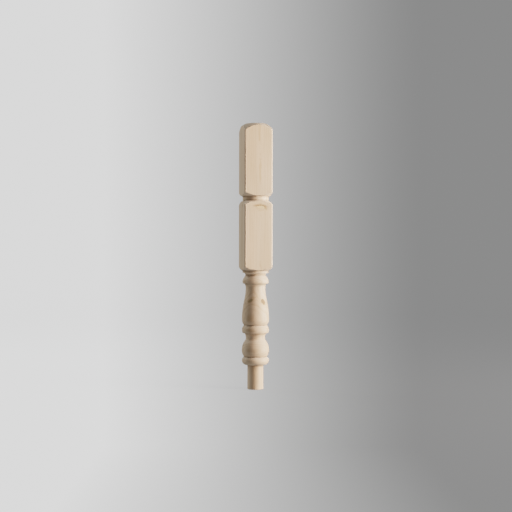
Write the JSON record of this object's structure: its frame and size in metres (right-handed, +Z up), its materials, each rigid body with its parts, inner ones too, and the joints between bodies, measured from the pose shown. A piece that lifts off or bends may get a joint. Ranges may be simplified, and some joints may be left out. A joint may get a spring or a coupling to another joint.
{
  "type": "newel post",
  "caption": "Landing newel post turned from one square softwood timber: square upper and lower blocks, a vase and ball turning between collars and beads, and a round peg below.",
  "frame": {"origin": "middle of the peg's flat lower end, the lowest point of the post", "axes": "+Z up the axis of the turning, towards the crown; the faces of the square blocks look along X and Y"},
  "size_m": [0.09, 0.09, 0.835],
  "materials": {
    "softwood": "bare planed and turned pine, matt"
  },
  "bodies": {
    "root": {"newel_post": "softwood"}
  },
  "joints": []
}
